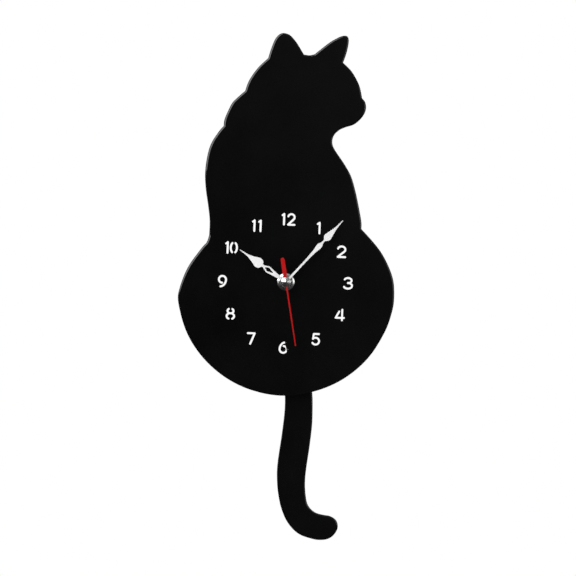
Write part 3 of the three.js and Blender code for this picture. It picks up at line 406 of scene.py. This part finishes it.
FINISHES = {
    "acrylic": acrylic(),
    "case_plastic": moulded_black(),
    "white_plastic": acetal("white_acetal", (0.82, 0.81, 0.77, 1), (0.74, 0.73, 0.69, 1)),
    "natural_plastic": acetal("natural_acetal", (0.72, 0.67, 0.54, 1), (0.62, 0.57, 0.45, 1)),
    "white_lacquer": lacquer("white_lacquer", grey(0.74), grey(0.68), 0.5),
    "red_lacquer": lacquer("red_lacquer", (0.38, 0.005, 0.005, 1), (0.33, 0.004, 0.004, 1), 0.12),
    "chrome": turned_metal("bright_chrome", grey(0.9), grey(0.78), 0.35 * MM, 0.004 * MM, (0.13, 0.24)),
    "brass": turned_metal(
        "turned_brass", (0.72, 0.5, 0.2, 1), (0.55, 0.36, 0.13, 1), 0.25 * MM, 0.006 * MM, (0.18, 0.32)
    ),
    "steel": plated_steel(
        "zinc_steel", (0.7, 0.71, 0.73, 1), (0.6, 0.61, 0.64, 1), (0.32, 0.44), 1.3 * MM
    ),
    "nickel": plated_steel(
        "nickel_plate", (0.74, 0.71, 0.64, 1), (0.6, 0.57, 0.5, 1), (0.14, 0.28), 0.9 * MM
    ),
    "ferrite": sintered(),
    "copper": wound_wire("motor_wire", "X"),
    "cell_jacket": cell_sleeve(),
    "rubber": rubber(),
    "foam": foam(),
    "board": solder_mask(),
    "epoxy": epoxy(),
}
OWN_FINISHES = {"drive_winding": wound_wire("drive_wire", "Y")}  # wound about another axis


# ---------------------------------------------------------------- mesh tools


def finish_mesh(mesh, sharp_from=35):
    """Smooth shading with corners sharper than sharp_from degrees kept."""
    mesh.shade_smooth()
    mesh.set_sharp_from_angle(angle=math.radians(sharp_from))


def add_piece(name, shape, body, slot, stands_for=(), sharp_from=35):
    """Makes an object of a bmesh, and says what it rides on, its finish and what it stands for."""
    bmesh.ops.recalc_face_normals(shape, faces=shape.faces)
    mesh = bpy.data.meshes.new(name)
    shape.to_mesh(mesh)
    shape.free()
    finish_mesh(mesh, sharp_from)
    made = bpy.data.objects.new(name, mesh)
    scene.collection.objects.link(made)
    made.data.materials.append(FINISHES[slot])
    weighted = made.modifiers.new("even_shading", "WEIGHTED_NORMAL")
    weighted.keep_sharp = True
    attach(made, body)
    if stands_for:
        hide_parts(*stands_for)
    return made


def stand_for(node, shape, sharp_from=35):
    """Adds a finer piece that takes a CAD node's place, body and finish."""
    body = nodes[node]["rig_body"]
    return add_piece(node + "_fine", shape, body, slot_of[node], [node], sharp_from)


def front_loops(node):
    """The outline and holes of a plate's front face, as lists of (x, z) with the solid on their left."""
    mesh = nodes[node].data
    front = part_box(node)[0].y
    edges = set()
    for polygon in mesh.polygons:
        corners = [mesh.vertices[i].co for i in polygon.vertices]
        if polygon.normal.y > -0.99 or any(abs(c.y - front) > 1e-6 for c in corners):
            continue
        keys = [(round(c.x * 1e7), round(c.z * 1e7)) for c in corners]
        for start, end in zip(keys, keys[1:] + keys[:1]):
            if (end, start) in edges:
                edges.remove((end, start))
            else:
                edges.add((start, end))
    following = dict(sorted(edges))
    loops = []
    while following:
        start = min(following)
        loop = [start]
        step = following.pop(start)
        while step != start:
            loop.append(step)
            step = following.pop(step)
        loops.append([Vector((x * 1e-7, z * 1e-7)) for x, z in loop])
    return loops


def signed_area(loop):
    return sum(a.cross(b) for a, b in zip(loop, loop[1:] + loop[:1])) / 2


def without_short_edges(loop, shortest):
    kept = [loop[0]]
    for point in loop[1:]:
        if (point - kept[-1]).length > shortest:
            kept.append(point)
    if (kept[-1] - kept[0]).length <= shortest:
        kept.pop()
    return kept


def curved(loop, corner, step=5):
    """A closed curve through the loop's points. Turns sharper than corner degrees stay corners."""
    loop = without_short_edges(loop, SHORTEST_EDGE)
    count = len(loop)
    runs = [loop[(i + 1) % count] - loop[i] for i in range(count)]
    arriving, leaving, turns = [], [], []
    for before, after in zip(runs[-1:] + runs[:-1], runs):
        turn = abs(before.angle_signed(after))
        is_corner = turn > math.radians(corner)
        tangent = (before + after).normalized()
        arriving.append(before.normalized() if is_corner else tangent)
        leaving.append(after.normalized() if is_corner else tangent)
        turns.append(0 if is_corner else math.degrees(turn))
    points = []
    for i, run in enumerate(runs):
        j = (i + 1) % count
        pieces = max(1, min(8, math.ceil(max(turns[i], turns[j]) / step)))
        for k in range(pieces):
            t = k / pieces
            points.append(
                loop[i] * (2 * t**3 - 3 * t**2 + 1)
                + loop[j] * (3 * t**2 - 2 * t**3)
                + leaving[i] * run.length * (t**3 - 2 * t**2 + t)
                + arriving[j] * run.length * (t**3 - t**2)
            )
    return points


def inset(loop, width):
    """Each point moved to its left by width, with runs that turn over on themselves drawn together."""
    count = len(loop)
    lefts = []
    for i in range(count):
        run = (loop[(i + 1) % count] - loop[i]).normalized()
        lefts.append(Vector((-run.y, run.x)))
    moved = []
    for i, point in enumerate(loop):
        before, after = lefts[i - 1], lefts[i]
        mitre = (before + after) / max(0.35, 1 + before.dot(after))
        moved.append(point + mitre * width)
    for _ in range(40):
        folded = False
        for i in range(count):
            j = (i + 1) % count
            if (moved[j] - moved[i]).dot(loop[j] - loop[i]) < 0:
                moved[i] = moved[j] = (moved[i] + moved[j]) / 2
                folded = True
        if not folded:
            break
    return moved


def join_rings(shape, first, second):
    """A band of faces between two rings. Where a ring is one point all round, they are triangles."""
    count = len(first)
    for k in range(count):
        j = (k + 1) % count
        corners = list(dict.fromkeys((first[k], first[j], second[j], second[k])))
        if len(corners) > 2:
            shape.faces.new(corners)


def enclosed(points, starts, ends):
    """True for each point with an odd number of rim edges to its right."""
    x, y = points[:, :1], points[:, 1:]
    crosses = (starts[:, 1] > y) != (ends[:, 1] > y)
    rise = ends[:, 1] - starts[:, 1]
    rise[rise == 0] = 1
    reach = starts[:, 0] + (y - starts[:, 1]) * (ends[:, 0] - starts[:, 0]) / rise
    return (crosses & (reach > x)).sum(1) % 2 == 1


def fill_face(shape, y):
    """Closes the open rims that lie at y, round their holes, with well-shaped triangles."""
    rims = [e for e in shape.edges if e.is_boundary and all(abs(v.co.y - y) < 1e-7 for v in e.verts)]
    corners = list(dict.fromkeys(v for e in rims for v in e.verts))
    number = {vert: i for i, vert in enumerate(corners)}
    flat = [Vector((v.co.x / MM, v.co.z / MM)) for v in corners]
    links = [(number[e.verts[0]], number[e.verts[1]]) for e in rims]
    inside_the_outline = 1
    places, _, triangles, sources, _, _ = delaunay_2d_cdt(flat, links, [], inside_the_outline, 1e-5)
    centres = np.array([sum((places[i] for i in t), Vector((0, 0))) / 3 for t in triangles])
    starts = np.array([flat[a] for a, _ in links])
    ends = np.array([flat[b] for _, b in links])
    for triangle, is_solid in zip(triangles, enclosed(centres, starts, ends)):
        if is_solid:
            shape.faces.new([corners[sources[i][0]] for i in triangle])


def rounded_plate(node, outer_edge, hole_edge, corner, hole_corner, steps=6):
    """The node's plate again, with smooth outlines and a rounded edge on both faces.

    An edge is how far it reaches in and how deep it is, or CRISP. Corners are in degrees.
    """
    low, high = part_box(node)
    shape = bmesh.new()
    for loop in front_loops(node):
        is_outline = signed_area(loop) > 0
        width, depth = outer_edge if is_outline else hole_edge
        wall = curved(loop, corner if is_outline else hole_corner)
        lip = inset(wall, width) if width else wall
        angles = [math.pi / 2 * k / steps for k in range(steps + 1)] if width else [math.pi / 2]
        profile = [(1 - math.sin(a), low.y + depth * (1 - math.cos(a))) for a in angles]
        profile += [(share, low.y + high.y - y) for share, y in reversed(profile)]
        rings = []
        for share, y in profile:
            ring = [a.lerp(b, share) for a, b in zip(wall, lip)]
            rings.append([shape.verts.new((point.x, y, point.y)) for point in ring])
        for first, second in zip(rings, rings[1:]):
            join_rings(shape, first, second)
    bmesh.ops.remove_doubles(shape, verts=shape.verts, dist=SAME_PLACE)
    for face in (low.y, high.y):
        fill_face(shape, face)
    return shape


def filleted(corners, steps=4):
    """A closed profile of (radius, along, fillet) corners as (radius, along) points, in metres."""
    points = []
    count = len(corners)
    for i, (radius, along, fillet) in enumerate(corners):
        here = Vector((radius, along))
        if fillet == 0:
            points.append(here)
            continue
        before = Vector(corners[i - 1][:2]) - here
        after = Vector(corners[(i + 1) % count][:2]) - here
        start = here + before.normalized() * min(fillet, before.length * 0.5)
        end = here + after.normalized() * min(fillet, after.length * 0.5)
        for k in range(steps + 1):
            t = k / steps
            points.append(start * (1 - t) ** 2 + here * 2 * t * (1 - t) + end * t**2)
    return points


def lathe(profile, centre, letter="Y", segments=96, reach=None):
    """Turns a closed (radius, along) profile about the Y or X axis through centre.

    reach, if given, is a function of the angle and the profile's radius that changes the radius.
    """
    shape = bmesh.new()
    rings = []
    for radius, along in profile:
        ring = []
        for k in range(segments):
            angle = 2 * math.pi * k / segments
            r = reach(angle, radius) if reach else radius
            across, up = r * math.sin(angle), r * math.cos(angle)
            if letter == "Y":
                place = (centre.x + across, along, centre.z + up)
            else:
                place = (along, centre.y + across, centre.z + up)
            ring.append(place)
        if radius < 1e-9:
            rings.append([shape.verts.new(ring[0])] * segments)
        else:
            rings.append([shape.verts.new(p) for p in ring])
    for first, second in zip(rings, rings[1:] + rings[:1]):
        join_rings(shape, first, second)
    return shape


# ---------------------------------------------------------------- acrylic plates and hands

for plate_node in ("cat_panel", "tail_panel"):
    stand_for(
        plate_node,
        rounded_plate(plate_node, PANEL_EDGE, CRISP, OUTLINE_CORNER, NUMERAL_CORNER),
    )
for hand_node in ("hour_hand", "minute_hand", "second_hand"):
    stand_for(
        hand_node,
        rounded_plate(hand_node, HAND_EDGE, HAND_EDGE, HAND_CORNER, HAND_CORNER, 3),
    )


# ---------------------------------------------------------------- hub


def radius_of(node):
    low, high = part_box(node)
    return (high.z - low.z) / 2


def crowned_profile(node, bore, crown_start):
    """A washer that falls away from crown_start to its rounded rim."""
    low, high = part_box(node)
    outer = radius_of(node)
    fall = (high.y - low.y) * 0.7
    steps = 8
    slope = []
    for k in range(steps + 1):
        share = k / steps
        slope.append((crown_start + (outer - crown_start) * share, low.y + fall * share**1.6, 0))
    return filleted([(bore, low.y, 0), *slope, (outer, high.y, 0), (bore, high.y, 0)])


def ring_profile(node, bore, fillet):
    """A plain washer's section between the node's faces."""
    low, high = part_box(node)
    outer = radius_of(node)
    return filleted([
        (bore, low.y, fillet), (outer, low.y, fillet), (outer, high.y, fillet), (bore, high.y, fillet),
    ])


def cap_profile():
    """A cap pressed to a shallow cone, with a soft point and a turned-down rim."""
    low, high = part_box("second_cap")
    outer = radius_of("second_cap")
    tip = [(outer * share, low.y + fall * MM, 0) for share, fall in CAP_TIP]
    rim = [(outer - 0.2 * MM, low.y + 0.88 * MM, 0.15 * MM), (outer, high.y - 0.1 * MM, 0)]
    return filleted([*tip, *rim, (outer - 0.1 * MM, high.y, 0), (0, high.y, 0)])


def hexagon_reach(corner, turn):
    """Makes lathe cut a hexagon: each point reaches no further than the flat on its side."""
    to_flat = corner * math.cos(math.pi / 6)

    def reach(angle, radius):
        from_flat_middle = (angle - turn) % (math.pi / 3) - math.pi / 6
        return min(radius, to_flat / math.cos(from_flat_middle))

    return reach


def nut_profile(node, bore, corner):
    """A nut's section: corners turned off at 30 degrees on both faces, and a countersunk bore."""
    low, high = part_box(node)
    to_flat = corner * math.cos(math.pi / 6)
    crown = to_flat - 0.15 * MM
    drop = (corner - crown) * math.tan(math.radians(30))
    sink = 0.3 * MM
    return [
        (bore + sink, low.y), (crown, low.y), (corner, low.y + drop), (corner, high.y - drop),
        (crown, high.y), (bore + sink, high.y), (bore, high.y - sink), (bore, low.y + sink),
    ]


def threaded_profile(node, bore, pitch, depth):
    """A tube with a turned-off end and thread rings down its outside, from the front to the back."""
    low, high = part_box(node)
    outer = radius_of(node)
    chamfer = 0.2 * MM
    points = [(bore, high.y), (bore, low.y + chamfer), (bore + chamfer, low.y), (outer - depth, low.y)]
    turns = int((high.y - low.y) / pitch) - 1
    for k in range(turns):
        root = low.y + (k + 0.5) * pitch
        points += [(outer, root), (outer - depth, root + pitch / 2)]
    points.append((outer - depth, high.y))
    return points


bush_radius = radius_of("threaded_bush")
stand_for("second_cap", lathe(cap_profile(), HUB, segments=128))
stand_for(
    "flat_washer",
    lathe(crowned_profile("flat_washer", bush_radius + WASHER_PLAY, WASHER_FLAT), HUB, segments=128),
)
stand_for(
    "rubber_washer",
    lathe(ring_profile("rubber_washer", bush_radius + WASHER_PLAY, 0.3 * MM), HUB),
)
stand_for(
    "hex_nut",
    lathe(
        nut_profile("hex_nut", bush_radius + NUT_PLAY, NUT_CORNER),
        HUB,
        segments=180,
        reach=hexagon_reach(NUT_CORNER, NUT_TURN + math.pi / 2),
    ),
    sharp_from=25,
)
stand_for(
    "threaded_bush",
    lathe(threaded_profile("threaded_bush", BUSH_BORE, THREAD_PITCH, THREAD_DEPTH), HUB),
)
for collet, collet_bore in COLLET_BORES.items():
    stand_for(collet, lathe(ring_profile(collet, collet_bore, 0.12 * MM), HUB))


# ---------------------------------------------------------------- movement hardware


def turned_along_x(node, corners):
    """Turns (radius, distance, fillet) corners about the node's axis, measured from its low X end."""
    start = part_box(node)[0].x
    profile = [(radius, start + distance, fillet) for radius, distance, fillet in corners]
    return lathe(filleted(profile), middle(node), "X", 64)


def cell_shape():
    """The cell: its sleeve is rolled over both ends, with the steel ends a little sunk inside it."""
    low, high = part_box("battery_cell")
    length = high.x - low.x
    outer = radius_of("battery_cell")
    return turned_along_x(
        "battery_cell",
        [
            (0, 0.25 * MM, 0), (4.9 * MM, 0.25 * MM, 0.15 * MM), (5.6 * MM, 0, 0.1 * MM),
            (outer, 0, 0.7 * MM), (outer, length, 0.8 * MM), (5.3 * MM, length, 0.2 * MM),
            (5 * MM, length - 0.3 * MM, 0.15 * MM), (0, length - 0.3 * MM, 0),
        ],
    )


def nub_shape():
    """The cell's positive nub, with a rounded rim."""
    low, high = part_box("battery_nub")
    outer = radius_of("battery_nub")
    length = high.x - low.x
    return turned_along_x(
        "battery_nub",
        [(0, 0, 0), (outer, 0, 0), (outer, length, 0.5 * MM), (0, length, 0)],
    )


def swept(route, radius, sides=16):
    """A closed wire of round section along a list of points."""
    shape = bmesh.new()
    rings = []
    for i, point in enumerate(route):
        ahead = (route[min(i + 1, len(route) - 1)] - route[max(i - 1, 0)]).normalized()
        across = ahead.cross(Vector((1, 0, 0))).normalized()
        up = across.cross(ahead)
        angles = [2 * math.pi * k / sides for k in range(sides)]
        rings.append([
            shape.verts.new(point + (across * math.cos(a) + up * math.sin(a)) * radius) for a in angles
        ])
    for first, second in zip(rings, rings[1:]):
        join_rings(shape, first, second)
    shape.faces.new(rings[0])
    shape.faces.new(rings[-1])
    return shape


def contact_spring():
    """The negative contact: a cone of wire that narrows towards the cell."""
    wire = SPRING["wire"]
    low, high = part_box("negative_spring")
    centre = middle("battery_cell")
    start, end = low.x + wire * 1.15, high.x - wire * 1.15
    steps = 220
    route = []
    for k in range(steps + 1):
        t = k / steps
        radius = SPRING["wide"] + (SPRING["narrow"] - SPRING["wide"]) * t
        angle = 2 * math.pi * SPRING["turns"] * t
        route.append(Vector((
            start + (end - start) * t,
            centre.y + radius * math.cos(angle),
            centre.z + radius * math.sin(angle),
        )))
    return swept(route, wire * 0.97)


stand_for("battery_cell", cell_shape())
stand_for("battery_nub", nub_shape())
stand_for("negative_spring", contact_spring())

# ---------------------------------------------------------------- the rest of the CAD pieces


def dress(node):
    """A CAD node keeps its shape: its seams are welded and its sharp edges broken."""
    made = nodes[node]
    made.data.shade_smooth()
    made.data.materials.clear()
    made.data.materials.append(OWN_FINISHES.get(node) or FINISHES[slot_of[node]])
    weld = made.modifiers.new("weld", "WELD")
    weld.merge_threshold = SAME_PLACE
    flat = made.modifiers.new("whole_faces", "DECIMATE")
    flat.decimate_type = "DISSOLVE"
    flat.angle_limit = math.radians(1)
    broken = made.modifiers.new("broken_edges", "BEVEL")
    broken.limit_method = "ANGLE"
    broken.angle_limit = math.radians(30)
    broken.width = BROKEN_EDGE
    broken.segments = 2
    broken.use_clamp_overlap = True
    broken.harden_normals = False
    slivers = made.modifiers.new("no_slivers", "WELD")
    slivers.merge_threshold = SAME_PLACE
    shading = made.modifiers.new("even_shading", "WEIGHTED_NORMAL")
    shading.keep_sharp = False


for name, cad in nodes.items():
    if not cad.hide_render:
        dress(name)


# ---------------------------------------------------------------- studio


def studio_world():
    """White behind the clock; a dim, even room for gloss to reflect; soft light from all round."""
    world = bpy.data.worlds.new("studio")
    scene.world = world
    world.use_nodes = True
    tree = world.node_tree
    tree.nodes.clear()
    direction = tree.nodes.new("ShaderNodeTexCoord").outputs["Generated"]
    split = tree.nodes.new("ShaderNodeSeparateXYZ")
    tree.links.new(direction, split.inputs[0])
    height = tree.nodes.new("ShaderNodeMapRange")
    tree.links.new(split.outputs["Z"], height.inputs["Value"])
    height.inputs["From Min"].default_value = -1
    ramp = tree.nodes.new("ShaderNodeValToRGB")
    tree.links.new(height.outputs[0], ramp.inputs["Fac"])
    elements = ramp.color_ramp.elements
    while len(elements) < len(ROOM_LEVELS):
        elements.new(0.5)
    for element, (position, level) in zip(elements, ROOM_LEVELS):
        element.position = position
        element.color = grey(level)
    across = tree.nodes.new("ShaderNodeMapRange")
    tree.links.new(split.outputs["X"], across.inputs["Value"])
    for name, value in DARKER_SIDE.items():
        across.inputs[name].default_value = value
    sided = tree.nodes.new("ShaderNodeVectorMath")
    sided.operation = "SCALE"
    tree.links.new(ramp.outputs["Color"], sided.inputs[0])
    tree.links.new(across.outputs[0], sided.inputs["Scale"])
    rays = tree.nodes.new("ShaderNodeLightPath")
    shade = sided.outputs[0]
    for ray, level in (("Is Diffuse Ray", AMBIENT), ("Is Camera Ray", WHITE_BACKDROP)):
        choose = tree.nodes.new("ShaderNodeMix")
        choose.data_type = "RGBA"
        tree.links.new(rays.outputs[ray], choose.inputs[0])
        tree.links.new(shade, choose.inputs[6])
        choose.inputs[7].default_value = grey(level)
        shade = choose.outputs[2]
    background = tree.nodes.new("ShaderNodeBackground")
    output = tree.nodes.new("ShaderNodeOutputWorld")
    tree.links.new(shade, background.inputs["Color"])
    tree.links.new(background.outputs[0], output.inputs["Surface"])


def soft_box(name, place, width, height, watts):
    """A soft box aimed at the clock's middle, itself out of sight."""
    light = bpy.data.lights.new(name, "AREA")
    light.shape = "RECTANGLE"
    light.size = width
    light.size_y = height
    light.energy = watts
    made = bpy.data.objects.new(name, light)
    scene.collection.objects.link(made)
    made.location = place
    aim = Vector((0, 0, HUB.z)) - Vector(place)
    made.rotation_mode = "QUATERNION"
    made.rotation_quaternion = aim.to_track_quat("-Z", "Y")
    made.visible_camera = False


def fade_rim(box):
    """The soft box glows most in its middle, so that gloss mirrors no hard edge of it."""
    light = box.data
    light.use_nodes = True
    tree = light.node_tree
    place = tree.nodes.new("ShaderNodeNewGeometry").outputs["Parametric"]
    away = tree.nodes.new("ShaderNodeVectorMath")
    away.operation = "DISTANCE"
    away.inputs[1].default_value = (0.5, 0.5, 0)
    tree.links.new(place, away.inputs[0])
    glow = tree.nodes.new("ShaderNodeMapRange")
    glow.interpolation_type = "SMOOTHSTEP"
    glow.inputs["From Min"].default_value = 0.5
    glow.inputs["From Max"].default_value = 0.0
    glow.inputs["To Max"].default_value = 2.4
    tree.links.new(away.outputs["Value"], glow.inputs["Value"])
    tree.links.new(glow.outputs[0], tree.nodes["Emission"].inputs["Strength"])


def pale_floor():
    """Pale paper under the clock, which fades into the white backdrop towards its edges."""
    shape = bmesh.new()
    bmesh.ops.create_grid(shape, x_segments=1, y_segments=1, size=FLOOR_REACH)
    mesh = bpy.data.meshes.new("floor")
    shape.to_mesh(mesh)
    shape.free()
    made = bpy.data.objects.new("floor", mesh)
    scene.collection.objects.link(made)
    made.location.z = cad_bounds[0].z - FLOOR_DROP
    made.visible_glossy = False
    paper = Finish("floor_paper", Roughness=0.9, Emission_Color=grey(1))
    reach = paper.node("VectorMath", {"Vector": paper.place}, operation="LENGTH").outputs["Value"]
    paper.shade("Emission_Strength", paper.span(reach, 0.76, 1, 1.2, 4.2))
    paper.shade("Base_Color", paper.ramp(paper.noise(0.4, 3), (0.3, grey(0.26)), (0.7, grey(0.28))))
    made.data.materials.append(paper.material)


def aim_camera():
    """A long lens nearly level with the hub, a little to its left, rolled as the clock hangs tilted."""
    data = bpy.data.cameras.new("camera")
    camera = bpy.data.objects.new("camera", data)
    scene.collection.objects.link(camera)
    data.lens = CAMERA_LENS
    data.sensor_width = SENSOR_WIDTH
    azimuth, elevation = math.radians(CAMERA_AZIMUTH), math.radians(CAMERA_ELEVATION)
    back = Vector((
        math.sin(azimuth) * math.cos(elevation),
        -math.cos(azimuth) * math.cos(elevation),
        math.sin(elevation),
    ))
    target = Vector((HUB.x + AIM[0], PANEL_FRONT, HUB.z + AIM[1]))
    camera.location = target + back * CAMERA_DISTANCE
    camera.rotation_mode = "QUATERNION"
    roll = Quaternion((0, 0, 1), math.radians(CAMERA_ROLL))
    camera.rotation_quaternion = (-back).to_track_quat("-Z", "Y") @ roll
    scene.camera = camera


studio_world()
for box_name, box_facts in SOFT_BOXES.items():
    soft_box(box_name, *box_facts)
fade_rim(bpy.data.objects["fill"])
pale_floor()
aim_camera()
scene.view_settings.view_transform = "Standard"
